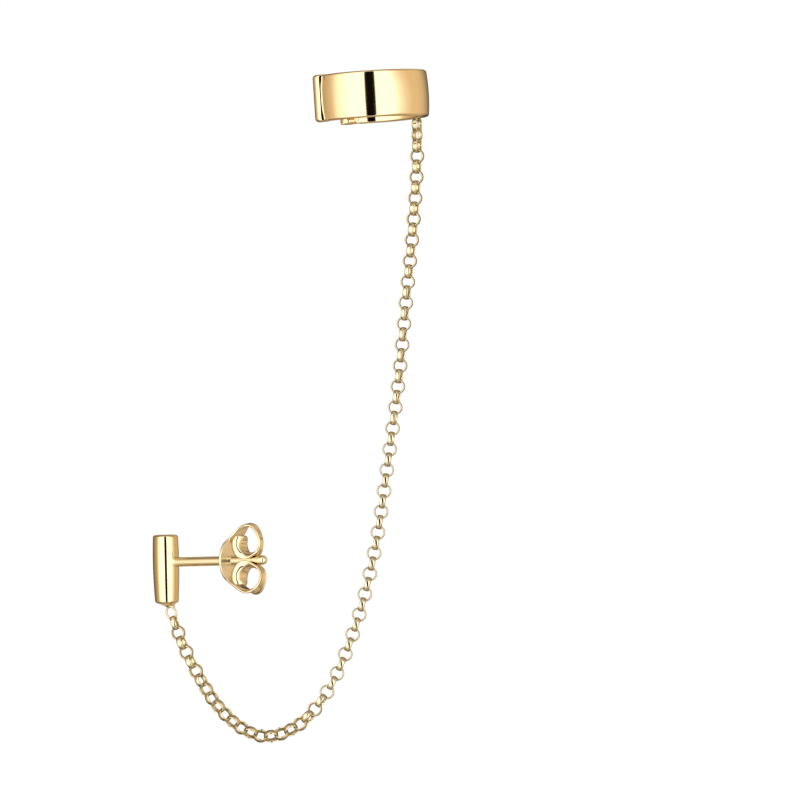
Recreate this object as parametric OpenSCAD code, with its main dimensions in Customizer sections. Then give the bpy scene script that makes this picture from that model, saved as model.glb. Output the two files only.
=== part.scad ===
// Ear chain earring: an open ear cuff, a fine rolo chain and a barrel bar on an ear post,
// with a butterfly ear nut on the post. All lengths are in millimetres.
// +X runs along the post, away from the bar. +Z is up, and the bar stands along it.
// The origin is on the post's axis at the back of the bar, where the ear lobe sits.

/* [Ear cuff] */
// Inside diameter of the cuff, which goes round the rim of the ear
cuff_id = 9.3; // [8:0.1:14]
// Thickness of the cuff's band
cuff_wall = 0.8; // [0.6:0.05:1.2]
// Height of the cuff's band
cuff_h = 4.4; // [3:0.1:8]
// How far the outer face of the band swells at mid height
cuff_crown = 0.13; // [0.05:0.01:0.25]
// Radius of the band's rounded edges
cuff_edge_r = 0.25; // [0.1:0.05:0.29]
// Angle between the centre lines of the two lips, across the opening
cuff_gap = 94; // [85:1:120]
// Radius of the rolled lip at each end of the band
lip_r = 0.62; // [0.5:0.02:0.7]
// How far a lip stands out past the band's outer face
lip_stand = 0.55; // [0.3:0.05:0.6]
// How far the ends of a lip stand past the band's edges
lip_over = 0.1; // [0.04:0.02:0.2]
// Radius of the rounded ends of a lip
lip_edge_r = 0.36; // [0.2:0.02:0.45]
// Angle round the cuff from the chain's solder to the middle of the opening
cuff_gap_turn = 131; // [110:1:180]
// Angle of the solder round the cuff from the plane that the chain hangs in
cuff_hang_turn = 32; // [0:1:80]
// Lean of the cuff where it hangs, seen square to the chain
cuff_lean = 1.2; // [0:0.2:5]

/* [Chain] */
// Outside diameter of a link
link_od = 1.38; // [1.3:0.02:1.6]
// Thickness of a link's band
link_wall = 0.10; // [0.09:0.01:0.14]
// Width of a link's band at the middle of its wall
link_w = 0.44; // [0.3:0.02:0.5]
// Width of the flat on the inner and the outer face of a link
link_face_w = 0.18; // [0.1:0.02:0.28]
// Clearance between two links where one passes through the other
link_gap = 0.18; // [0.16:0.01:0.24]

/* [Bar stud] */
// Length of the bar
bar_l = 6.5; // [5:0.1:12]
// Diameter of the bar at mid height
bar_d = 2.5; // [2:0.1:4]
// Diameter of the bar at its top
bar_top_d = 2.4; // [1.8:0.05:2.45]
// Diameter of the bar at its foot
bar_foot_d = 2.25; // [1.8:0.05:2.45]
// Radius of the bar's rounded ends
bar_edge_r = 0.25; // [0.1:0.05:0.4]
// Height of the post above the middle of the bar
post_up = 0.65; // [0:0.05:2]
// Diameter of the ear post
post_d = 0.9; // [0.7:0.05:1.2]
// Length of the ear post from the bar's surface
post_l = 10.5; // [9:0.1:14]
// Radius of the solder fillet round the foot of the post
fillet_r = 0.3; // [0.1:0.05:0.4]
// Width of the solder cone where it leaves the bar
cone_d = 1.5; // [1.2:0.1:1.7]
// Width of the solder cone at the ring
cone_end_d = 0.85; // [0.6:0.05:1.1]
// Height of the solder cone
cone_h = 0.4; // [0.2:0.05:0.8]

/* [Ear nut] */
// Diameter of the nut's disc
nut_d = 4.4; // [4:0.1:7]
// Thickness of the nut's sheet
nut_t = 0.22; // [0.18:0.02:0.3]
// How far the post's tip stands out past the back of the nut
tip_out = 0.35; // [0.2:0.05:1.5]
// Height over the nut's two scrolls
nut_h = 6.6; // [5.6:0.1:8]
// Length of the nut from the face of its disc to the back of the scrolls
nut_l = 3.6; // [3:0.1:4.2]
// Width of the sheet where a scroll leaves the disc
nut_arm_w = 1.8; // [1.4:0.1:2.2]
// Width of the sheet at the back of a scroll
nut_back_w = 0.85; // [0.6:0.05:1.1]
// Running clearance of the nut round the post
nut_clear = 0.05; // [0.03:0.01:0.09]
// Length of the groove that grips the post
grip_l = 0.9; // [0.6:0.1:1.4]
// Gap between the two halves of the grip
grip_gap = 0.28; // [0.2:0.02:0.5]
// Turn of the nut about the post, as it was pushed on
nut_turn = 5; // [0:1:60]

/* [Hanging] */
// Angle between the post and the plane that the chain hangs in
hang_turn = 34; // [0:1:80]

/* [Hidden] */
$fn = 64;

gold = [0.93, 0.79, 0.50];
sink = 0.14;                              // how deep soldered pieces run into each other
corner_steps = 5;
crown_steps = 8;
spline_steps = 12;

// Chosen points of the chain's route in the plane that it hangs in: across, then up,
// from the bar's axis at the height of the post. The chain starts at the cuff. It ends
// at the ring under the bar, whose place follows from the bar's own sizes.
route_points = [
    [25.7, 40.6], [25.5, 36.6], [24.9, 31.0], [24.0, 24.5], [22.9, 16.5], [21.6, 9.0],
    [20.1, 1.1], [18.4, -5.1], [16.4, -10.1], [14.5, -13.4], [12.0, -16.0], [9.0, -17.0],
    [6.4, -16.0], [4.2, -13.7], [2.5, -10.7], [1.2, -7.8]
];
// Twist of the chain about its own run: share of the route, then degrees
chain_twist = [
    [0.00, 45], [0.02, 42], [0.045, 21], [0.13, 21], [0.17, 16], [0.22, 12], [0.31, 12],
    [0.36, 7], [0.45, 2], [0.70, 2], [0.77, 45], [0.88, 45], [0.94, 70], [1.00, 60]
];
grip_share = 0.70;                        // the scroll's lowest point, which holds the post
// One scroll of the ear nut, from the disc round to the free end: the share of the
// nut's length behind the disc, then the share of its half height off the post's axis.
scroll_shares = [
    [0.00, 0.50], [0.04, 0.60], [0.25, 0.84], [0.44, 0.98], [0.64, 1.00], [0.87, 0.87],
    [1.00, 0.55], [0.94, 0.26], [grip_share, 0.09], [0.44, 0.16], [0.31, 0.44], [0.42, 0.69]
];
// Plan of a scroll: share of the nut's length, then share of the way from the wide
// sheet at the disc to the narrow sheet at the back
plan_shares = [[0.00, 0.0], [0.50, 0.0], [0.70, 0.3], [0.88, 0.75], [1.00, 1.0]];

cuff_ri = cuff_id / 2;
cuff_ro = cuff_ri + cuff_wall;
cuff_rm = (cuff_ri + cuff_ro) / 2;
lip_at = cuff_ro + lip_stand - lip_r;
gap_middle = cuff_hang_turn + cuff_gap_turn;
lip_seam = -60;                           // keeps a lip's seam clear of the band's end

bar_middle = -post_up;
bar_foot = bar_middle - bar_l / 2;
cone_foot = bar_foot - cone_h;
post_r = post_d / 2;
post_foot = -bar_d / 2;                   // the bar's axis, from the origin at its back
ring_across = 0.3;                        // the last ring sits a little off the bar's axis
last_ring = [ring_across, cone_foot - link_od / 2 + sink];

route = smooth_run(concat(route_points, [last_ring]), spline_steps);
route_run = lengths(route);
route_l = route_run[len(route) - 1];
route_across = [for (i = [0:len(route) - 1]) [route_run[i], route[i][0]]];
route_up = [for (i = [0:len(route) - 1]) [route_run[i], route[i][1]]];
links = round(route_l / (link_od - 2 * link_wall - link_gap));
pitch = route_l / links;

nut_bore_r = post_r + nut_clear;
nut_at = post_l - tip_out - nut_l;        // the room for the ear lobe
nut_reach = nut_l - nut_t;
nut_rise = (nut_h - nut_t) / 2;
grip_at = nut_t / 2 + grip_share * nut_reach;
grip_low = grip_gap / 2 + nut_t / 2;

function arc(c, r, a0, a1, steps) =
    [for (i = [0:steps]) let (a = a0 + (a1 - a0) * i / steps) c + r * [cos(a), sin(a)]];

// A point of the list, carried on in a straight line past either end
function beyond(p, i) =
    let (n = len(p) - 1)
    i < 0 ? 2 * p[0] - p[1] : i > n ? 2 * p[n] - p[n - 1] : p[i];

// A point on the smooth curve between b and c, with a before them and d after them
function between(a, b, c, d, t) =
    (2 * b + (c - a) * t + (2 * a - 5 * b + 4 * c - d) * t * t
        + (3 * b - a - 3 * c + d) * t * t * t) / 2;

function smooth_run(p, steps) = concat(
    [for (i = [0:len(p) - 2]) for (k = [0:steps - 1])
        between(beyond(p, i - 1), p[i], p[i + 1], beyond(p, i + 2), k / steps)],
    [p[len(p) - 1]]);

function lengths(p) =
    [for (i = 0, s = 0; i < len(p); i = i + 1, s = s + (i < len(p) ? norm(p[i] - p[i - 1]) : 0)) s];

// Middle of link k, counted from the one soldered to the cuff
function link_at(k) = [lookup(k * pitch, route_across), lookup(k * pitch, route_up)];

// Slope of the chain at link k
function slope_at(k) =
    let (d = link_at(min(k + 0.5, links)) - link_at(max(k - 0.5, 0)))
    atan2(d[1], d[0]);

// Direction square to the run of a list of points, at point i
function square_to(p, i) =
    let (d = p[min(i + 1, len(p) - 1)] - p[max(i - 1, 0)])
    [-d[1], d[0]] / norm(d);

// A strip of sheet of thickness t whose middle follows the points p
function strip(p, t) = concat(
    [for (i = [0:len(p) - 1]) p[i] + square_to(p, i) * t / 2],
    [for (i = [len(p) - 1:-1:0]) p[i] - square_to(p, i) * t / 2]);

// Puts its children in the plane that the chain hangs in: x across, z up
module hanging() {
    translate([post_foot, 0, 0]) rotate([0, 0, hang_turn]) children();
}

// A link stands in its own plane, with its hole along y
module link() {
    ro = link_od / 2;
    ri = ro - link_wall;
    rm = (ro + ri) / 2;
    rotate([90, 0, 0]) rotate_extrude() polygon([
        [ri, -link_face_w / 2], [rm, -link_w / 2], [ro, -link_face_w / 2],
        [ro, link_face_w / 2], [rm, link_w / 2], [ri, link_face_w / 2]
    ]);
}

// Link k where it hangs: every second link is turned a quarter about the run
module placed_link(k) {
    p = link_at(k);
    quarter = k % 2 == 0 ? 90 : 0;
    translate([p[0], 0, p[1]])
        rotate([0, -slope_at(k), 0])
        rotate([quarter + lookup(k / links, chain_twist), 0, 0])
        link();
}

// Half of a band's outer face, as its distance from the cuff's axis at height z
function cuff_face(z) = cuff_ro + cuff_crown * (1 - pow(2 * z / cuff_h, 2));

module band_section() {
    e = cuff_edge_r;
    z0 = cuff_h / 2 - e;
    r0 = cuff_face(z0);
    polygon(concat(
        arc([r0 - e, -z0], e, -90, 0, corner_steps),
        [for (i = [1:crown_steps - 1]) let (z = z0 * (2 * i / crown_steps - 1)) [cuff_face(z), z]],
        arc([r0 - e, z0], e, 0, 90, corner_steps),
        arc([cuff_ri + e, z0], e, 90, 180, corner_steps),
        arc([cuff_ri + e, -z0], e, 180, 270, corner_steps)
    ));
}

// A lip is a rolled rod across the end of the band
module lip() {
    e = lip_edge_r;
    end = cuff_h / 2 + lip_over;
    rotate([0, 0, lip_seam]) rotate_extrude() polygon(concat(
        [[0, -end]],
        arc([lip_r - e, e - end], e, -90, 0, corner_steps),
        arc([lip_r - e, end - e], e, 0, 90, corner_steps),
        [[0, end]]
    ));
}

module cuff_ring() {
    rotate([0, 0, gap_middle + cuff_gap / 2]) {
        rotate_extrude(angle = 360 - cuff_gap) band_section();
        translate([lip_at, 0, 0]) lip();
    }
    rotate([0, 0, gap_middle - cuff_gap / 2]) translate([lip_at, 0, 0]) mirror([0, 1, 0]) lip();
}

// The cuff hangs by its lower edge from the first ring, which is soldered to it
module ear_cuff() color(gold) hanging() {
    p = link_at(0);
    placed_link(0);
    translate([p[0], 0, p[1]])
        rotate([0, -cuff_lean, 0])
        translate([-cuff_rm * cos(cuff_hang_turn), -cuff_rm * sin(cuff_hang_turn),
            link_od / 2 - sink + cuff_h / 2])
        cuff_ring();
}

module chain() color(gold) hanging() {
    for (k = [1:links - 1]) placed_link(k);
}

module bar() {
    e = bar_edge_r;
    z0 = bar_l / 2 - e;
    mean_d = (bar_top_d + bar_foot_d) / 2;
    taper = (bar_top_d - bar_foot_d) / 4;
    swell = (bar_d - mean_d) / 2;
    rotate_extrude() polygon(concat(
        [[0, -bar_l / 2]],
        arc([bar_foot_d / 2 - e, -z0], e, -90, 0, corner_steps),
        [for (i = [1:crown_steps - 1]) let (u = 2 * i / crown_steps - 1)
            [mean_d / 2 + taper * u + swell * (1 - u * u), z0 * u]],
        arc([bar_top_d / 2 - e, z0], e, 0, 90, corner_steps),
        [[0, bar_l / 2]]
    ));
}

// The post runs from the bar's axis to its rounded tip, with solder round its foot
module post() {
    rotate([0, 90, 0]) {
        translate([0, 0, post_foot]) cylinder(h = post_l - post_r - post_foot, d = post_d);
        translate([0, 0, post_l - post_r]) sphere(d = post_d);
        rotate_extrude() polygon(concat(
            [[0, -bar_d / 4], [post_r + fillet_r, -bar_d / 4]],
            arc([post_r + fillet_r, fillet_r], fillet_r, -90, -180, corner_steps),
            [[0, fillet_r]]
        ));
    }
}

// The cone of solder under the bar carries the chain's last ring
module bar_stud() color(gold) {
    translate([post_foot, 0, bar_middle]) bar();
    translate([post_foot, 0, cone_foot])
        cylinder(h = cone_h + sink, d1 = cone_end_d, d2 = cone_d);
    post();
    hanging() placed_link(links);
}

// Plan of the scrolls, seen along z: the sheet narrows towards the back
module scroll_plan() {
    half = [for (s = plan_shares) [s[0] * nut_l, nut_arm_w / 2 + (nut_back_w - nut_arm_w) / 2 * s[1]]];
    mirrored = [for (i = [len(half) - 1:-1:0]) [half[i][0], -half[i][1]]];
    polygon(concat(half, mirrored));
}

// One scroll of sheet, from the disc over the top and back under to the post
module scroll() {
    middle = [for (s = scroll_shares)
        [nut_t / 2 + s[0] * nut_reach, max(s[1] * nut_rise, grip_low)]];
    intersection() {
        rotate([90, 0, 0]) linear_extrude(height = nut_arm_w, center = true)
            polygon(strip(smooth_run(middle, 4), nut_t));
        linear_extrude(height = nut_h) scroll_plan();
    }
}

// The two halves of a tube of sheet hold the post between the scrolls
module grip() {
    translate([grip_at - grip_l / 2, 0, 0]) difference() {
        rotate([0, 90, 0]) cylinder(h = grip_l, r = nut_bore_r + nut_t);
        translate([-grip_l, -nut_d, -grip_gap / 2]) cube([3 * grip_l, 2 * nut_d, grip_gap]);
    }
}

module ear_nut() color(gold) translate([nut_at, 0, 0]) rotate([-nut_turn, 0, 0]) {
    difference() {
        union() {
            rotate([0, 90, 0]) cylinder(h = nut_t, d = nut_d);
            scroll();
            mirror([0, 0, 1]) scroll();
            grip();
        }
        translate([-nut_l, 0, 0]) rotate([0, 90, 0]) cylinder(h = 3 * nut_l, r = nut_bore_r);
    }
}

ear_cuff();
chain();
bar_stud();
ear_nut();
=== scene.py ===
import math

import bmesh
import bpy
from mathutils import Matrix, Vector


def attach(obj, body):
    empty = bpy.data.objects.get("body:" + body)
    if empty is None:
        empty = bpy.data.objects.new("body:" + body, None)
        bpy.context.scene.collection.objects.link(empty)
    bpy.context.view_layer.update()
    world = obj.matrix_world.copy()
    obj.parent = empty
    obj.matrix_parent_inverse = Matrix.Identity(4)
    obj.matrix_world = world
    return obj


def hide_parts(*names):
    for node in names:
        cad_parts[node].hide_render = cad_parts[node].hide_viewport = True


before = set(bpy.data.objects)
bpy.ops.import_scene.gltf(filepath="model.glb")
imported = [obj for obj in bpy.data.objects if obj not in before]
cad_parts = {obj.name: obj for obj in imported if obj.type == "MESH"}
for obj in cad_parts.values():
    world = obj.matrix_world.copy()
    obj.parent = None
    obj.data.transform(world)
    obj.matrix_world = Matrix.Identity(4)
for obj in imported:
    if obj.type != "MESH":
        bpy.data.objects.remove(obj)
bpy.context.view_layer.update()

# Chain: a fine rolo chain of round links, each stamped from gold-plated silver band and
# soldered shut. Every link hangs through the one above it, turned a quarter about the run.
# It follows one smooth route in the plane that it hangs in, from the cuff to the bar.
MM = 0.001
# Sizes are in mm, or in metres where they are multiplied by MM
LINK_R = 0.615 * MM
LINK_THICK = 0.165 * MM
LINK_WIDE = 0.52 * MM
LINK_COUNT = 79
LINK_STEPS = 56
LINK_SIDE_STEPS = 16
# How full the band's rounded section is, across its thickness and across its width
LINK_FULL_THICK = 0.8
LINK_FULL_WIDE = 0.9
BAR_AXIS_X = -1.25 * MM
HANG_TURN = math.radians(34)
hang = Matrix.Translation((BAR_AXIS_X, 0, 0)) @ Matrix.Rotation(HANG_TURN, 4, "Z")
# Route of the links' middles in the plane that the chain hangs in, in mm: along it, and up
route_points = [
    (25.7, 40.6), (25.5, 36.6), (24.9, 31.0), (24.0, 24.5), (22.9, 16.5), (21.6, 9.0),
    (20.1, 1.1), (18.4, -5.1), (16.4, -10.1), (14.5, -13.4), (12.0, -16.0), (9.0, -17.0),
    (6.4, -16.0), (4.2, -13.7), (2.5, -10.7), (1.2, -7.8), (0.3, -4.85),
]
ROUTE_STEPS = 12
# How far the links are turned about the run, in degrees, at these shares of its length
twist_stops = [
    (0.00, 45), (0.02, 42), (0.045, 21), (0.13, 21), (0.17, 16), (0.22, 12), (0.31, 12),
    (0.36, 7), (0.45, 2), (0.70, 2), (0.77, 45), (0.88, 45),
    (0.94, 70), (0.975, 68), (0.987, 80), (1.00, 60),
]
# The links next to the cuff hang loose and askew, by these angles in degrees
askew_turns = {0: -17, 1: 17, 2: -12, 3: -4}


def smooth_run(points, steps):
    """Smooth curve through the points, carried straight on past both ends."""
    pts = [Vector(p) for p in points]
    pts = [2 * pts[0] - pts[1], *pts, 2 * pts[-1] - pts[-2]]
    run = []
    for a, b, c, d in zip(pts, pts[1:], pts[2:], pts[3:]):
        for k in range(steps):
            t = k / steps
            run.append((2 * b + (c - a) * t + (2 * a - 5 * b + 4 * c - d) * t * t
                        + (3 * b - a - 3 * c + d) * t * t * t) / 2)
    run.append(pts[-2])
    return run


def between_stops(stops, at):
    """Value at a place along a list of (place, value) stops."""
    if at <= stops[0][0]:
        return stops[0][1]
    for (a, va), (b, vb) in zip(stops, stops[1:]):
        if at <= b:
            return va + (vb - va) * (at - a) / (b - a)
    return stops[-1][1]


route = smooth_run(route_points, ROUTE_STEPS)
route_run = [0.0]
for a, b in zip(route, route[1:]):
    route_run.append(route_run[-1] + (b - a).length)
pitch = route_run[-1] / (LINK_COUNT - 1)
route_across = [(s, p[0]) for s, p in zip(route_run, route)]
route_up = [(s, p[1]) for s, p in zip(route_run, route)]


def link_middle(k):
    """Middle of link k in the plane of the chain, in mm."""
    return Vector((between_stops(route_across, k * pitch), 0, between_stops(route_up, k * pitch)))


def link_place(k):
    """Where link k hangs, counted from the one that is soldered to the cuff."""
    run = link_middle(min(k + 0.5, LINK_COUNT - 1)) - link_middle(max(k - 0.5, 0))
    slope = math.atan2(run.z, run.x)
    quarter = 90 if k % 2 == 0 else 0
    twist = quarter + between_stops(twist_stops, k / (LINK_COUNT - 1)) + askew_turns.get(k, 0)
    return (hang @ Matrix.Translation(link_middle(k) * MM)
            @ Matrix.Rotation(-slope, 4, "Y") @ Matrix.Rotation(math.radians(twist), 4, "X"))


def add_link(bm, place, thick=LINK_THICK, wide=LINK_WIDE, narrow=1.0):
    """One link: a band of rounded section bent into a ring, with its hole along y. narrow
    presses the ring to an oval."""
    middle = LINK_R + (LINK_THICK - thick) / 2
    rings = []
    for i in range(LINK_STEPS):
        a = 2 * math.pi * i / LINK_STEPS
        ring = []
        for j in range(LINK_SIDE_STEPS):
            b = 2 * math.pi * j / LINK_SIDE_STEPS
            out = thick / 2 * math.copysign(abs(math.cos(b)) ** LINK_FULL_THICK, math.cos(b))
            side = wide / 2 * math.copysign(abs(math.sin(b)) ** LINK_FULL_WIDE, math.sin(b))
            along, across = (middle + out) * math.cos(a), (middle * narrow + out) * math.sin(a)
            ring.append(bm.verts.new(place @ Vector((along, side, across))))
        rings.append(ring)
    for r0, r1 in zip(rings, rings[1:] + rings[:1]):
        for j in range(LINK_SIDE_STEPS):
            k = (j + 1) % LINK_SIDE_STEPS
            bm.faces.new((r0[j], r0[k], r1[k], r1[j]))


def finished_piece(name, bm, material, node, body):
    """Makes the mesh a smooth piece of its material that stands for its CAD node."""
    bmesh.ops.recalc_face_normals(bm, faces=bm.faces)
    mesh = bpy.data.meshes.new(name)
    bm.to_mesh(mesh)
    bm.free()
    mesh.shade_smooth()
    mesh.materials.append(material)
    piece = bpy.data.objects.new(name, mesh)
    bpy.context.scene.collection.objects.link(piece)
    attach(piece, body)
    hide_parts(node)
    return piece


# Slow patches of the plating's tone, and the share of the colour left in the deeper ones
PATCH_SCALE = 420
PATCH_TONE = (0.985, 0.97, 0.93)
# Share of the blue that stays in the painted shade at the outline
RIM_SHADE_WARMTH = 0.9
# The wiping marks run level: they are this many times finer up and down
MARK_STRETCH = 6
WAVE_SCALE = 900


def gold_material(name, colour, rim, rough, rough_swing, mark_scale, mark_depth, wave_depth):
    """Gold plating: a polished metal with fine wiping marks and a slow unevenness. Its colour is
    darkened towards its outline as painted shade, for the dark surroundings it mirrors there: rim
    holds the share of colour left there, and the turns from facing at which that begins and is reached."""
    rim_shade_share, rim_from, rim_to = rim
    mat = bpy.data.materials.new(name)
    mat.use_nodes = True
    nodes, link = mat.node_tree.nodes, mat.node_tree.links.new
    shader = nodes["Principled BSDF"]
    shader.inputs["Metallic"].default_value = 1.0
    place = nodes.new("ShaderNodeTexCoord")

    patches = nodes.new("ShaderNodeTexNoise")
    patches.inputs["Scale"].default_value = PATCH_SCALE
    patches.inputs["Detail"].default_value = 4
    link(place.outputs["Object"], patches.inputs["Vector"])
    tone = nodes.new("ShaderNodeValToRGB")
    tone.color_ramp.elements[0].position = 0.30
    tone.color_ramp.elements[0].color = (*[c * s for c, s in zip(colour, PATCH_TONE)], 1)
    tone.color_ramp.elements[1].position = 0.72
    tone.color_ramp.elements[1].color = (*colour, 1)
    link(patches.outputs["Fac"], tone.inputs["Fac"])
    # Painted shade: the base colour darkens towards the outline, for the dark surroundings mirrored there
    facing = nodes.new("ShaderNodeLayerWeight")
    facing.inputs["Blend"].default_value = 0.5
    turned = nodes.new("ShaderNodeValToRGB")
    turned.color_ramp.elements[0].position = rim_from
    turned.color_ramp.elements[0].color = (1, 1, 1, 1)
    turned.color_ramp.elements[1].position = rim_to
    turned.color_ramp.elements[1].color = (rim_shade_share, rim_shade_share, rim_shade_share * RIM_SHADE_WARMTH, 1)
    link(facing.outputs["Facing"], turned.inputs["Fac"])
    rim_shaded_tone = nodes.new("ShaderNodeMix")
    rim_shaded_tone.data_type = "RGBA"
    rim_shaded_tone.blend_type = "MULTIPLY"
    rim_shaded_tone.inputs["Factor"].default_value = 1.0
    link(tone.outputs["Color"], rim_shaded_tone.inputs["A"])
    link(turned.outputs["Color"], rim_shaded_tone.inputs["B"])
    link(rim_shaded_tone.outputs["Result"], shader.inputs["Base Color"])

    marks = nodes.new("ShaderNodeTexNoise")
    marks.inputs["Scale"].default_value = mark_scale
    marks.inputs["Detail"].default_value = 6
    marks.inputs["Roughness"].default_value = 0.65
    stretch = nodes.new("ShaderNodeMapping")
    stretch.inputs["Scale"].default_value = (1, 1, MARK_STRETCH)
    link(place.outputs["Object"], stretch.inputs["Vector"])
    link(stretch.outputs["Vector"], marks.inputs["Vector"])
    sheen = nodes.new("ShaderNodeMapRange")
    sheen.inputs["From Min"].default_value = 0.35
    sheen.inputs["From Max"].default_value = 0.75
    sheen.inputs["To Min"].default_value = rough
    sheen.inputs["To Max"].default_value = rough + rough_swing
    link(marks.outputs["Fac"], sheen.inputs["Value"])
    link(sheen.outputs["Result"], shader.inputs["Roughness"])

    waves = nodes.new("ShaderNodeTexNoise")
    waves.inputs["Scale"].default_value = WAVE_SCALE
    waves.inputs["Detail"].default_value = 1
    link(place.outputs["Object"], waves.inputs["Vector"])
    wave_bump = nodes.new("ShaderNodeBump")
    wave_bump.inputs["Strength"].default_value = 1.0
    wave_bump.inputs["Distance"].default_value = wave_depth
    link(waves.outputs["Fac"], wave_bump.inputs["Height"])
    mark_bump = nodes.new("ShaderNodeBump")
    mark_bump.inputs["Strength"].default_value = 1.0
    mark_bump.inputs["Distance"].default_value = mark_depth
    link(marks.outputs["Fac"], mark_bump.inputs["Height"])
    link(wave_bump.outputs["Normal"], mark_bump.inputs["Normal"])
    link(mark_bump.outputs["Normal"], shader.inputs["Normal"])
    return mat


# Painted shade: the chain's plating has a darker and paler colour than the cuff's, darkening the links as a
# whole and damping the orange of links mirroring each other
CHAIN_SHADED_COLOUR = (0.79, 0.69, 0.47)
chain_gold = gold_material(
    "chain_gold", CHAIN_SHADED_COLOUR, (0.15, 0.4, 0.9), 0.04, 0.05, 7000, 0.5e-6, 4e-6)
chain_mesh = bmesh.new()
for k in range(1, LINK_COUNT - 1):
    add_link(chain_mesh, link_place(k))
finished_piece("chain_links", chain_mesh, chain_gold, "chain", "earring")

# Ear cuff: a wide band of polished gold-plated silver, bent into an open ring. Its outer
# face is slightly domed, its edges are rounded, and each end is rolled into a lip. The
# chain's first link is soldered under its lower edge.
GOLD = (0.965, 0.76, 0.46)
CUFF_RI = 4.65
CUFF_WALL = 0.8
CUFF_H = 4.4
CUFF_CROWN = 0.13
CUFF_EDGE = 0.25
BORE_FLARE = 0.15
BORE_FLARE_SHARP = 6
LIP_R = 0.62
LIP_AT = 5.38
LIP_OVER = 0.03
LIP_EDGE = 0.36
LIP_BLEND = 0.12
# The band begins to change into the lip this far before the lip's middle, over this run
LIP_CHANGE_AT = 0.75
LIP_CHANGE_RUN = 0.3
LIP_RUN = 0.96
LIP_STEPS = 16
BAND_STEPS = 200
EDGE_STEPS = 8
CUFF_LEAN = math.radians(1.2)
GAP_MIDDLE = math.radians(163)
GAP_HALF = math.radians(47)
CUFF_MIDDLE = (21.3607, -2.6761, 43.2597)
cuff_place = (hang @ Matrix.Translation(Vector(CUFF_MIDDLE) * MM)
              @ Matrix.Rotation(-CUFF_LEAN, 4, "Y"))


def soft_max(a, b, blend):
    """The larger of two lengths, with a fillet where they are about the same."""
    h = max(blend - abs(a - b), 0) / blend
    return max(a, b) + h * h * blend / 4


def cuff_section(past_end):
    """Section of the band, as (radius, height) pairs. past_end is the distance from the
    middle of the nearer lip, and is above 0 in the lip's free half."""
    across = max(1 - (past_end / LIP_R) ** 2, 0)
    lip_out = LIP_AT + LIP_R * math.sqrt(across) if across > 0 else 0
    lip_share = min(max((past_end + LIP_CHANGE_AT) / LIP_CHANGE_RUN, 0), 1)
    lip_share = lip_share * lip_share * (3 - 2 * lip_share)
    half = CUFF_H / 2 + LIP_OVER * lip_share

    def outer(z):
        face = CUFF_RI + CUFF_WALL + CUFF_CROWN * (1 - (2 * z / CUFF_H) ** 2)
        if past_end > 0:
            return LIP_AT + (soft_max(face, LIP_AT + LIP_R, LIP_BLEND) - LIP_AT) * math.sqrt(across)
        return soft_max(face, lip_out, LIP_BLEND)

    def inner(z):
        flare = BORE_FLARE * abs(2 * z / CUFF_H) ** BORE_FLARE_SHARP
        bore_at = CUFF_RI + flare * (1 - lip_share)
        return bore_at if past_end <= 0 else LIP_AT - (LIP_AT - bore_at) * math.sqrt(across)

    edge = CUFF_EDGE + (LIP_EDGE - CUFF_EDGE) * lip_share
    edge_in = min(edge, (outer(half - edge) - inner(half - edge)) * 0.45)
    edge = min(edge, (outer(half - edge) - inner(half - edge)) * 0.5)
    corner = [math.pi / 2 * k / EDGE_STEPS for k in range(EDGE_STEPS + 1)]
    rim = outer(half - edge)
    top_out = [(rim - edge + edge * math.sin(a), half - edge + edge * math.cos(a)) for a in corner]
    face = [(outer(z), z) for z in [(half - edge) * (1 - k / 14) for k in range(1, 28)]]
    low_out = [(r, -z) for r, z in reversed(top_out)]
    rim = inner(half - edge_in)
    low_in = [(rim + edge_in * (1 - math.sin(a)), edge_in - half - edge_in * math.cos(a)) for a in corner]
    bore = [(inner(z), z) for z in [(half - edge_in) * (k / 10 - 1) for k in range(1, 20)]]
    top_in = [(r, -z) for r, z in reversed(low_in)]
    return top_out + face + low_out + low_in + bore + top_in


def add_loft(bm, sections):
    """Joins rings of points of equal count, and closes both ends."""
    rings = [[bm.verts.new(p) for p in section] for section in sections]
    for r0, r1 in zip(rings, rings[1:]):
        for j in range(len(r0)):
            k = (j + 1) % len(r0)
            bm.faces.new((r0[j], r0[k], r1[k], r1[j]))
    bm.faces.new(rings[0])
    bm.faces.new(reversed(rings[-1]))


# Places round the cuff: close together over the lips, wider apart along the band
lip_places = [
    LIP_R * min(math.sin(math.pi / 2 * (1 - k / LIP_STEPS)), 0.999) for k in range(LIP_STEPS)]
lip_places += [-LIP_RUN * k / LIP_STEPS for k in range(LIP_STEPS + 1)]
band_turn = 2 * math.pi - 2 * GAP_HALF
cuff_sections = []
for past in lip_places:
    cuff_sections.append((GAP_MIDDLE + GAP_HALF - past / LIP_AT, past))
first = GAP_MIDDLE + GAP_HALF + LIP_RUN / LIP_AT
last = GAP_MIDDLE + GAP_HALF + band_turn - LIP_RUN / LIP_AT
for k in range(BAND_STEPS + 1):
    cuff_sections.append((first + (last - first) * k / BAND_STEPS, -1.0))
for past in reversed(lip_places):
    cuff_sections.append((GAP_MIDDLE + GAP_HALF + band_turn + past / LIP_AT, past))
polished_gold = gold_material(
    "polished_gold", GOLD, (0.5, 0.4, 0.9), 0.05, 0.05, 5200, 0.2e-6, 0.7e-6)
cuff_mesh = bmesh.new()
add_loft(cuff_mesh, [
    [cuff_place @ (Vector((r * math.cos(a), r * math.sin(a), z)) * MM) for r, z in cuff_section(past)]
    for a, past in cuff_sections])
finished_piece("cuff_band", cuff_mesh, polished_gold, "ear_cuff", "earring")

cuff_ring_mesh = bmesh.new()
add_link(cuff_ring_mesh, link_place(0))
finished_piece("cuff_ring", cuff_ring_mesh, chain_gold, "ear_cuff", "earring")

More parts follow.
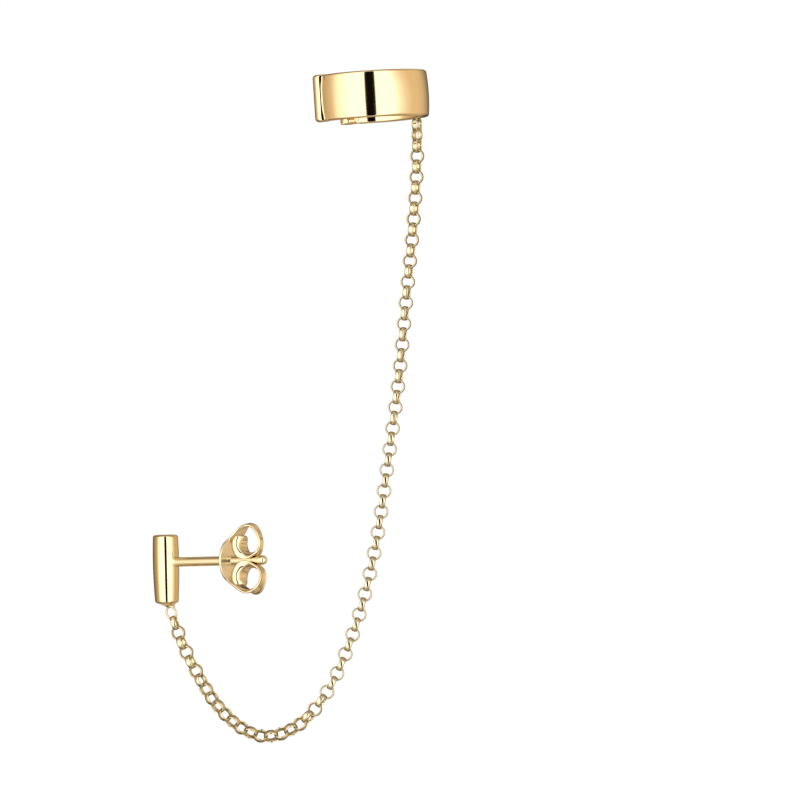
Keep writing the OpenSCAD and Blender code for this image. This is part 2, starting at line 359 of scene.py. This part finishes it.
# Bar stud: a slightly barrel-shaped bar of polished gold-plated silver, with the ear post
# soldered to its back and a small cone of solder under it for the chain's last link.
BAR_L = 6.5
BAR_D = 2.5
BAR_TOP_D = 2.4
BAR_FOOT_D = 2.25
BAR_EDGE = 0.25
BAR_MIDDLE = -0.65
# Rings on the bar's flat ends, and steps round its edges, down its side and round it
BAR_END_RINGS = (0.45, 0.75)
CORNER_STEPS = 10
BAR_STEPS = 20
BAR_ROUND_STEPS = 128
BAR_LEAN = math.radians(1.2)
POST_R = 0.45
POST_L = 10.5
POST_SUNK = 0.6
POST_STEPS = 15
POST_ROUND_STEPS = 64
POST_COLOUR = (0.94, 0.80, 0.53)
SOLDER_RUN = 0.07
SOLDER_SUNK = 0.012
SOLDER_STEPS = 12
CONE_SUNK = 0.14
CONE_TIP = 0.05
CONE_STEPS = 12
CONE_ROUND_STEPS = 48
CONE_H = 0.4
CONE_R = 0.90
CONE_END_R = 0.425
# The cone's end lies to the side by this share of its height
CONE_SKEW = 0.9
RING_WIRE = 0.2 * MM
RING_NARROW = 0.88


def add_turned(bm, outline, place, steps):
    """A turned piece: the outline (radius, height) goes round z, with both ends closed."""
    rings = []
    for r, z in outline:
        if r < 1e-6:
            rings.append([bm.verts.new(place @ Vector((0, 0, z * MM)))])
        else:
            rings.append([bm.verts.new(place @ (Vector((
                r * math.cos(2 * math.pi * k / steps), r * math.sin(2 * math.pi * k / steps), z)) * MM))
                for k in range(steps)])
    for r0, r1 in zip(rings, rings[1:]):
        for k in range(steps):
            m = (k + 1) % steps
            corners = [r0[k % len(r0)], r0[m % len(r0)], r1[m % len(r1)], r1[k % len(r1)]]
            bm.faces.new(list(dict.fromkeys(corners)))


def bar_corner(end_d, sign):
    """Rounded end of the bar, from its flat to its side."""
    r, z = end_d / 2 - BAR_EDGE, BAR_L / 2 - BAR_EDGE
    return [(r + BAR_EDGE * math.sin(a), sign * (z + BAR_EDGE * math.cos(a))) for a in quarter_turn]


bar_gold = gold_material(
    "bar_gold", GOLD, (0.76, 0.10, 0.28), 0.05, 0.04, 5200, 0.2e-6, 0.5e-6)
post_gold = gold_material(
    "post_gold", POST_COLOUR, (0.6, 0.4, 0.9), 0.05, 0.04, 5200, 0.2e-6, 0.5e-6)
quarter_turn = [math.pi / 2 * k / CORNER_STEPS for k in range(CORNER_STEPS + 1)]
mean_d = (BAR_TOP_D + BAR_FOOT_D) / 2
bar_outline = [(0, BAR_L / 2)]
bar_outline += [(r, BAR_L / 2) for r in BAR_END_RINGS]
bar_outline += bar_corner(BAR_TOP_D, 1)
for k in range(1, 2 * BAR_STEPS):
    t = 1 - k / BAR_STEPS
    swell = (BAR_D - mean_d) / 2 * (1 - t * t)
    taper = (BAR_TOP_D - BAR_FOOT_D) / 4 * t
    bar_outline.append((mean_d / 2 + taper + swell, (BAR_L / 2 - BAR_EDGE) * t))
bar_outline += list(reversed(bar_corner(BAR_FOOT_D, -1)))
bar_outline += [(r, -BAR_L / 2) for r in reversed(BAR_END_RINGS)]
bar_outline += [(0, -BAR_L / 2)]
bar_lean = (Matrix.Translation((BAR_AXIS_X, 0, 0)) @ Matrix.Rotation(HANG_TURN, 4, "Z")
            @ Matrix.Rotation(BAR_LEAN, 4, "Y"))
bar_mesh = bmesh.new()
bar_place = bar_lean @ Matrix.Translation((0, 0, BAR_MIDDLE * MM))
add_turned(bar_mesh, bar_outline, bar_place, BAR_ROUND_STEPS)
finished_piece("bar_barrel", bar_mesh, bar_gold, "bar_stud", "earring")

along_post = Matrix.Rotation(math.pi / 2, 4, "Y")
post_side = POST_L - POST_R + POST_SUNK
post_outline = [(0, -POST_SUNK)]
post_outline += [(POST_R, -POST_SUNK + post_side * k / POST_STEPS) for k in range(POST_STEPS + 1)]
post_outline += [
    (POST_R * math.cos(a), POST_L - POST_R + POST_R * math.sin(a)) for a in quarter_turn[1:-1]]
post_outline += [(0, POST_L)]
post_mesh = bmesh.new()
add_turned(post_mesh, post_outline, along_post, POST_ROUND_STEPS)
# The solder runs up from the round side of the bar to the post, a little unevenly
solder_rows = []
for k in range(SOLDER_STEPS + 1):
    a = math.pi / 2 * k / SOLDER_STEPS
    row = []
    for m in range(POST_ROUND_STEPS):
        b = 2 * math.pi * m / POST_ROUND_STEPS
        run = SOLDER_RUN * (1 + 0.22 * math.sin(b + 0.6) + 0.10 * math.sin(3 * b + 1.9))
        r = POST_R + run * (1 - math.sin(a))
        rise = run * (1 - math.cos(a))
        y, z = r * math.cos(b), r * math.sin(b)
        seat = math.sqrt((BAR_D / 2) ** 2 - y * y) - BAR_D / 2
        x = seat * (1 - rise / run) + rise - SOLDER_SUNK
        row.append(post_mesh.verts.new(Vector((x, y, z)) * MM))
    solder_rows.append(row)
for r0, r1 in zip(solder_rows, solder_rows[1:]):
    for m in range(POST_ROUND_STEPS):
        n = (m + 1) % POST_ROUND_STEPS
        post_mesh.faces.new((r0[m], r0[n], r1[n], r1[m]))
post_mesh.faces.new(solder_rows[0])
post_mesh.faces.new(reversed(solder_rows[-1]))
finished_piece("ear_post", post_mesh, post_gold, "bar_stud", "earring")

cone_top = BAR_MIDDLE - BAR_L / 2
cone_outline = [(0, cone_top + CONE_SUNK), (CONE_R, cone_top + CONE_SUNK), (CONE_R, cone_top)]
for k in range(1, CONE_STEPS + 1):
    t = k / CONE_STEPS
    cone_outline.append((CONE_R + (CONE_END_R - CONE_R) * (t * (2 - t)), cone_top - CONE_H * t))
cone_outline += [(CONE_END_R * 0.6, cone_top - CONE_H - CONE_TIP * 0.8)]
cone_outline += [(0, cone_top - CONE_H - CONE_TIP)]
cone_mesh = bmesh.new()
cone_skew = Matrix((
    (1, 0, -CONE_SKEW, CONE_SKEW * cone_top * MM), (0, 1, 0, 0), (0, 0, 1, 0), (0, 0, 0, 1)))
add_turned(cone_mesh, cone_outline, bar_lean @ cone_skew, CONE_ROUND_STEPS)
finished_piece("bar_cone", cone_mesh, post_gold, "bar_stud", "earring")
bar_ring_mesh = bmesh.new()
add_link(bar_ring_mesh, link_place(LINK_COUNT - 1), RING_WIRE, RING_WIRE, RING_NARROW)
finished_piece("bar_ring", bar_ring_mesh, chain_gold, "bar_stud", "earring")

# Ear nut: a butterfly nut stamped from one gold-plated sheet. Two arms of the sheet curl
# back from the rim of its disc into scrolls, and their rolled edges stiffen them. Between
# the scrolls the sheet is a gutter round the post, and grips it.
NUT_AT = 6.55
NUT_R = 2.2
NUT_T = 0.22
NUT_BORE = 0.5
NUT_TURN = math.radians(8)
NUT_EDGE = 0.08
NUT_BORE_EDGE = 0.05
NUT_COLOUR = (0.96, 0.79, 0.51)
# Painted light: the disc has a lighter, paler copy of the nut's plating colour, making up for the shade of
# the scrolls over it
DISC_LIT_COLOUR = (1.0, 0.88, 0.63)
DISC_STEPS = 12
DISC_ROUND_STEPS = 128
SCROLL_STEPS = 8
# Points of the scroll's line between which it lies along the post and grips it
GRIP_FROM = 11
GRIP_TO = 13
# Middle of the sheet on its way round each scroll, in mm: along the post behind the face
# of the disc, off the post, half width before its edges are rolled, their roll in degrees
# (to the outer side, or below 0 to the inner one), the radius of the roll, and how far the
# sheet tips away from the front, in degrees
upper_scroll = [
    (0.11, 1.55, 1.00, 0, 0.60, 0), (0.13, 1.75, 1.00, 0, 0.60, 0), (0.26, 2.02, 1.02, 6, 0.60, 0),
    (0.62, 2.51, 1.00, -14, 0.60, -6), (1.00, 2.99, 0.94, -26, 0.60, -10), (1.36, 3.30, 0.82, -34, 0.60, -12),
    (1.80, 3.40, 0.64, -34, 0.60, -12), (2.38, 3.19, 0.47, -24, 0.58, -8), (2.92, 2.58, 0.38, -8, 0.55, -3),
    (3.23, 1.78, 0.35, 12, 0.52, 0), (3.18, 1.17, 0.38, 32, 0.52, 0), (2.96, 0.86, 0.50, 46, 0.53, 0),
    (2.66, 0.68, 0.70, 62, 0.58, 0), (2.25, 0.62, 0.92, 84, 0.56, 0), (1.78, 0.68, 1.14, 106, 0.49, 0),
    (1.42, 0.92, 1.36, 124, 0.44, 0), (1.20, 1.28, 1.42, 130, 0.42, 0), (1.14, 1.66, 1.38, 128, 0.42, 0),
    (1.22, 1.98, 1.18, 116, 0.41, 0), (1.32, 2.18, 0.86, 98, 0.40, 0), (1.37, 2.27, 0.46, 66, 0.38, 0),
]
lower_scroll = [
    (0.11, 1.55, 1.00, 0, 0.60, 0), (0.13, 1.75, 1.00, 0, 0.60, 0), (0.30, 2.00, 1.02, 6, 0.60, 0),
    (0.80, 2.32, 1.05, 20, 0.60, 0), (1.36, 2.60, 1.05, 38, 0.60, 0), (1.85, 2.80, 1.02, 52, 0.60, 0),
    (2.38, 2.86, 0.98, 60, 0.62, 0), (2.95, 2.70, 0.80, 53, 0.62, 0), (3.37, 2.25, 0.61, 42, 0.60, 0),
    (3.57, 1.65, 0.51, 36, 0.58, 0), (3.46, 1.10, 0.49, 38, 0.55, 0), (3.13, 0.80, 0.56, 48, 0.56, 0),
    (2.70, 0.65, 0.72, 62, 0.58, 0), (2.28, 0.61, 0.92, 84, 0.56, 0), (1.85, 0.68, 1.14, 106, 0.49, 0),
    (1.52, 0.92, 1.36, 124, 0.44, 0), (1.32, 1.28, 1.42, 130, 0.42, 0), (1.28, 1.66, 1.38, 128, 0.42, 0),
    (1.38, 1.98, 1.18, 116, 0.41, 0), (1.48, 2.18, 0.86, 98, 0.40, 0), (1.53, 2.27, 0.46, 66, 0.38, 0),
]


def sheet_section(half_width):
    """Half round-edged section of flat sheet: (across, through) pairs of its inner side."""
    corner = [math.pi / 2 * k / 4 for k in range(5)]
    edge = min(NUT_EDGE, NUT_T / 2)
    flat = half_width - edge
    side = [(flat + edge * math.cos(a), NUT_T / 2 - edge + edge * math.sin(a)) for a in corner]
    side += [(flat * (1 - k / 14), NUT_T / 2) for k in range(1, 28)]
    return side + [(-across, through) for across, through in reversed(side[:5])]


def add_scroll(bm, line, flip, place, first, last):
    """Sheet that follows the scroll's line between two of its points, counted from 0, with
    both edges rolled over."""
    run = smooth_run(line, SCROLL_STEPS)
    rings = []
    for i in range(first * SCROLL_STEPS, last * SCROLL_STEPS + 1):
        s, z, half_width, roll, roll_r, tip = run[i]
        a, b = run[max(i - 1, 0)], run[min(i + 1, len(run) - 1)]
        ahead = Vector((b[0] - a[0], b[1] - a[1])).normalized()
        outer = Vector((-ahead[1], ahead[0]))
        flat = max(half_width - roll_r * math.radians(abs(roll)), 0)
        side = math.copysign(1, roll)
        section = sheet_section(half_width)
        ring = []
        for across, through in section + [(-u, -t) for u, t in section]:
            sign = math.copysign(1, across)
            bend = max(abs(across) - flat, 0) / roll_r
            y = sign * (min(abs(across), flat) + (roll_r - side * through) * math.sin(bend))
            off = side * (roll_r - (roll_r - side * through) * math.cos(bend))
            tip_cos = math.cos(math.radians(tip))
            tip_sin = math.sin(math.radians(tip))
            y, off = y * tip_cos + off * tip_sin, off * tip_cos - y * tip_sin
            point = Vector((NUT_AT + s + outer[0] * off, y, (z + outer[1] * off) * flip))
            ring.append(bm.verts.new(place @ (point * MM)))
        rings.append(ring)
    count = len(rings[0])
    for r0, r1 in zip(rings, rings[1:]):
        for j in range(count):
            k = (j + 1) % count
            bm.faces.new((r0[j], r0[k], r1[k], r1[j]))
    for ring in [rings[0]] * (first == 0) + [rings[-1]] * (last == len(line) - 1):
        for j in range(count // 2 - 1):
            bm.faces.new((ring[j], ring[j + 1], ring[count - 2 - j], ring[count - 1 - j]))


nut_gold = gold_material(
    "nut_gold", NUT_COLOUR, (0.35, 0.4, 0.9), 0.03, 0.04, 6000, 0.3e-6, 0.8e-6)
nut_satin_lit = gold_material(
    "nut_satin_lit", DISC_LIT_COLOUR, (0.5, 0.55, 0.9), 0.20, 0.06, 6000, 0.4e-6, 2e-6)
nut_place = Matrix.Rotation(-NUT_TURN, 4, "X")
rim_turn = [math.pi / 2 * k / 6 for k in range(7)]
disc_rings = [NUT_BORE + (NUT_R - NUT_BORE) * k / DISC_STEPS for k in range(1, DISC_STEPS)]
bore_rim = NUT_BORE + NUT_BORE_EDGE * 1.2
disc_outline = [(NUT_BORE, NUT_BORE_EDGE), (NUT_BORE, NUT_T - NUT_BORE_EDGE), (bore_rim, NUT_T)]
disc_outline += [(r, NUT_T) for r in disc_rings]
disc_outline += [
    (NUT_R - NUT_EDGE * (1 - math.sin(a)), NUT_T - NUT_EDGE * (1 - math.cos(a))) for a in rim_turn]
disc_outline += [
    (NUT_R - NUT_EDGE * (1 - math.cos(a)), NUT_EDGE * (1 - math.sin(a))) for a in rim_turn]
disc_outline += [(r, 0) for r in reversed(disc_rings)]
disc_outline += [(bore_rim, 0), (NUT_BORE, NUT_BORE_EDGE)]
disc_place = nut_place @ Matrix.Translation((NUT_AT * MM, 0, 0)) @ along_post
disc_mesh = bmesh.new()
add_turned(disc_mesh, disc_outline, disc_place, DISC_ROUND_STEPS)
disc = finished_piece("ear_nut_disc", disc_mesh, nut_satin_lit, "ear_nut", "nut")
scroll_mesh = bmesh.new()
grip_mesh = bmesh.new()
for line, flip in ((upper_scroll, 1), (lower_scroll, -1)):
    add_scroll(scroll_mesh, line, flip, nut_place, 0, GRIP_FROM)
    add_scroll(grip_mesh, line, flip, nut_place, GRIP_FROM, GRIP_TO)
    add_scroll(scroll_mesh, line, flip, nut_place, GRIP_TO, len(line) - 1)
scrolls = finished_piece("ear_nut_scrolls", scroll_mesh, nut_gold, "ear_nut", "nut")
finished_piece("ear_nut_grips", grip_mesh, nut_gold, "ear_nut", "nut")
# Of the nut, the other pieces mirror only the grips, which lie close beside the post
disc.visible_glossy = False
scrolls.visible_glossy = False

# Floor: a plain pale sheet of matt paper under the hanging earring. The gold doesn't
# mirror it.
FLOOR_DEPTH = 0.028
FLOOR_SIZE = 4.0
PAPER_GRAIN = 900
PAPER_DEEP = (0.975, 0.975, 0.972)
PAPER_LIGHT = (0.99, 0.99, 0.99)
floor_mesh = bmesh.new()
bmesh.ops.create_grid(floor_mesh, x_segments=8, y_segments=8, size=FLOOR_SIZE / 2)
mesh = bpy.data.meshes.new("floor")
floor_mesh.to_mesh(mesh)
floor_mesh.free()
floor = bpy.data.objects.new("floor", mesh)
floor.location = (0.01, 0.01, -FLOOR_DEPTH)
bpy.context.scene.collection.objects.link(floor)
paper = bpy.data.materials.new("floor_paper")
paper.use_nodes = True
nodes, link = paper.node_tree.nodes, paper.node_tree.links.new
shader = nodes["Principled BSDF"]
shader.inputs["Roughness"].default_value = 0.9
shader.inputs["Specular IOR Level"].default_value = 0.0
grain = nodes.new("ShaderNodeTexNoise")
grain.inputs["Scale"].default_value = PAPER_GRAIN
grain.inputs["Detail"].default_value = 5
tone = nodes.new("ShaderNodeValToRGB")
tone.color_ramp.elements[0].color = (*PAPER_DEEP, 1)
tone.color_ramp.elements[1].color = (*PAPER_LIGHT, 1)
place = nodes.new("ShaderNodeTexCoord")
link(place.outputs["Object"], grain.inputs["Vector"])
link(grain.outputs["Fac"], tone.inputs["Fac"])
link(tone.outputs["Color"], shader.inputs["Base Color"])
mesh.materials.append(paper)
floor.visible_glossy = False

# Camera: level with the middle of the earring, square to the plane that the chain hangs in.
# It stands far off with a long lens, and is turned a little about its line of sight.
VIEW_MIDDLE = Vector((0.017767, 0.012827, 0.014461))
VIEW_FAR = 0.480
VIEW_ROLL = math.radians(2.5)
VIEW_LENS = 226.8
VIEW_SENSOR = 36
toward = Vector((math.sin(HANG_TURN), -math.cos(HANG_TURN), 0))
right = Vector((math.cos(HANG_TURN), math.sin(HANG_TURN), 0))
up = Vector((0, 0, 1))
view_right = right * math.cos(VIEW_ROLL) - up * math.sin(VIEW_ROLL)
view_up = right * math.sin(VIEW_ROLL) + up * math.cos(VIEW_ROLL)
camera = bpy.data.objects.new("camera", bpy.data.cameras.new("camera"))
camera.data.lens = VIEW_LENS
camera.data.sensor_width = VIEW_SENSOR
camera.data.clip_start = 0.01
camera.data.clip_end = 20
camera.matrix_world = Matrix.Translation(VIEW_MIDDLE + toward * VIEW_FAR) @ Matrix((
    (view_right[0], view_up[0], toward[0]), (view_right[1], view_up[1], toward[1]),
    (view_right[2], view_up[2], toward[2]))).to_4x4()
bpy.context.scene.collection.objects.link(camera)
bpy.context.scene.camera = camera

# Light: a white tent with two broad soft boxes, one to each side of the camera, and the
# dark slot between them where the camera looks in. The polished gold mirrors it.
WHITE_SURROUND = (1.03, 1.03, 1.03)
# Share of the tent's light that is left in the camera's slot
DARK = 0.002
BOX = (1.80, 1.80, 1.75)
TAN = (1.0, 0.80, 0.565)
# The right soft box's outer edge comes in with the square of the height, up to a most. The
# bend starts at a bearing to the right of the camera and grows over a run, in radians
BOW = 3.2
BOW_MOST = 0.22
BOW_FROM = 0.3
BOW_RUN = 0.3
BOW_GAIN = 3.3
world = bpy.data.worlds.new("studio_tent")
bpy.context.scene.world = world
world.use_nodes = True
nodes, link = world.node_tree.nodes, world.node_tree.links.new
background = nodes["Background"]
direction = nodes.new("ShaderNodeTexCoord")


def part_along(axis):
    """How far the light's direction runs along an axis, from -1 to 1."""
    dot = nodes.new("ShaderNodeVectorMath")
    dot.operation = "DOT_PRODUCT"
    dot.inputs[1].default_value = axis
    link(direction.outputs["Generated"], dot.inputs[0])
    return dot.outputs["Value"]


def worked_out(operation, *values):
    """Result of one sum on sockets and numbers."""
    node = nodes.new("ShaderNodeMath")
    node.operation = operation
    for socket, value in zip(node.inputs, values):
        if isinstance(value, (int, float)):
            socket.default_value = value
        else:
            link(value, socket)
    return node.outputs[0]


def ramp(value, stops):
    """Colours along a value, from a list of (place, colour) stops."""
    node = nodes.new("ShaderNodeValToRGB")
    node.color_ramp.interpolation = "LINEAR"
    while len(node.color_ramp.elements) < len(stops):
        node.color_ramp.elements.new(0.5)
    for element, (at, colour) in zip(node.color_ramp.elements, stops):
        element.position = at
        element.color = (*colour, 1)
    link(value, node.inputs["Fac"])
    return node.outputs["Color"]


bearing = worked_out("ARCTAN2", part_along(right), part_along(toward))
height = worked_out("ARCSINE", part_along(up))
bow = worked_out("MINIMUM", worked_out("MULTIPLY", worked_out("MULTIPLY", height, height), BOW), BOW_MOST)
past_start = worked_out("MINIMUM", worked_out("SUBTRACT", bearing, BOW_FROM), BOW_RUN)
on_right = worked_out("MAXIMUM", past_start, 0.0)
come_in = worked_out("MULTIPLY", bow, worked_out("MULTIPLY", on_right, BOW_GAIN))
bowed = worked_out("ADD", bearing, come_in)
bowed = worked_out("MINIMUM", bowed, math.pi)
turn_share = worked_out("ADD", worked_out("DIVIDE", bowed, 2 * math.pi), 0.5)


def tan_at(level):
    """Warm light of the studio's walls, deeper in colour where it is dimmer."""
    return tuple(level * share ** (1 + 0.5 * max(0.6 - level, 0)) for share in TAN)


def at_bearing(degrees):
    """Place on a ramp of a bearing, counted from the camera to the right."""
    return degrees / 360 + 0.5


round_stops = [
    (at_bearing(-180), tan_at(0.12)), (at_bearing(-150), tan_at(0.18)), (at_bearing(-130), tan_at(0.30)),
    (at_bearing(-112), tan_at(0.48)), (at_bearing(-92), tan_at(0.68)), (at_bearing(-80), (0.84, 0.71, 0.54)),
    (at_bearing(-69), (1.26, 1.20, 1.10)), (at_bearing(-55), (1.52, 1.52, 1.45)), (at_bearing(-42), BOX),
    (at_bearing(50), BOX), (at_bearing(58), (1.35, 1.30, 1.18)), (at_bearing(74), (0.98, 0.88, 0.74)),
    (at_bearing(92), tan_at(0.83)), (at_bearing(126), tan_at(0.80)), (at_bearing(138), tan_at(0.66)),
    (at_bearing(150), tan_at(0.45)), (at_bearing(162), tan_at(0.25)), (at_bearing(180), tan_at(0.12)),
]
round_light = ramp(turn_share, round_stops)
height_share = worked_out("ADD", worked_out("DIVIDE", height, math.pi), 0.5)


def at_height(degrees):
    """Place on a ramp of a height above the horizon."""
    return degrees / 180 + 0.5


height_stops = [
    (at_height(-90), (0.20,) * 3), (at_height(-70), (0.28,) * 3), (at_height(-30), (0.85,) * 3),
    (at_height(-15), (1.0,) * 3), (at_height(20), (1.0,) * 3), (at_height(35), (0.85,) * 3),
    (at_height(70), (0.35,) * 3), (at_height(90), (0.30,) * 3),
]
height_light = ramp(height_share, height_stops)
# The camera's slot is tall, and ends well above and below the horizon
slot_round = ramp(turn_share, [
    (at_bearing(-10.5), (0,) * 3), (at_bearing(-8.5), (1,) * 3), (at_bearing(10), (1,) * 3),
    (at_bearing(12), (0,) * 3)])
slot_high = ramp(height_share, [
    (at_height(-62), (0,) * 3), (at_height(-54), (1,) * 3), (at_height(54), (1,) * 3),
    (at_height(62), (0,) * 3)])
open_share = worked_out("SUBTRACT", 1.0 + DARK, worked_out("MULTIPLY", slot_round, slot_high))
# Behind the earring the tent is dim along the horizon and lighter above and below it
back_round = ramp(turn_share, [
    (at_bearing(-158), (1,) * 3), (at_bearing(-140), (0,) * 3), (at_bearing(140), (0,) * 3),
    (at_bearing(158), (1,) * 3)])
back_high = ramp(height_share, [
    (at_height(-85), tan_at(0.30)), (at_height(-50), tan_at(0.64)), (at_height(-30), tan_at(0.60)),
    (at_height(-14), (0,) * 3), (at_height(14), (0,) * 3), (at_height(30), tan_at(0.60)),
    (at_height(50), tan_at(0.60)), (at_height(85), tan_at(0.30))])


def light_of(operation, a, b):
    """Two lights added, or one dimmed by the other."""
    node = nodes.new("ShaderNodeVectorMath")
    node.operation = operation
    link(a, node.inputs[0])
    link(b, node.inputs[1])
    return node.outputs["Vector"]


front_light = light_of("MULTIPLY", light_of("MULTIPLY", round_light, height_light), open_share)
lit = light_of("ADD", front_light, light_of("MULTIPLY", back_round, back_high))
# The eye and the paper floor see the tent as plain white
sight = nodes.new("ShaderNodeLightPath")
seen = nodes.new("ShaderNodeMix")
seen.data_type = "RGBA"
seen.inputs["B"].default_value = (*WHITE_SURROUND, 1)
plain_white = worked_out("MAXIMUM", sight.outputs["Is Camera Ray"], sight.outputs["Is Diffuse Ray"])
link(plain_white, seen.inputs["Factor"])
link(lit, seen.inputs["A"])
link(seen.outputs["Result"], background.inputs["Color"])
bpy.context.scene.view_settings.view_transform = "Standard"
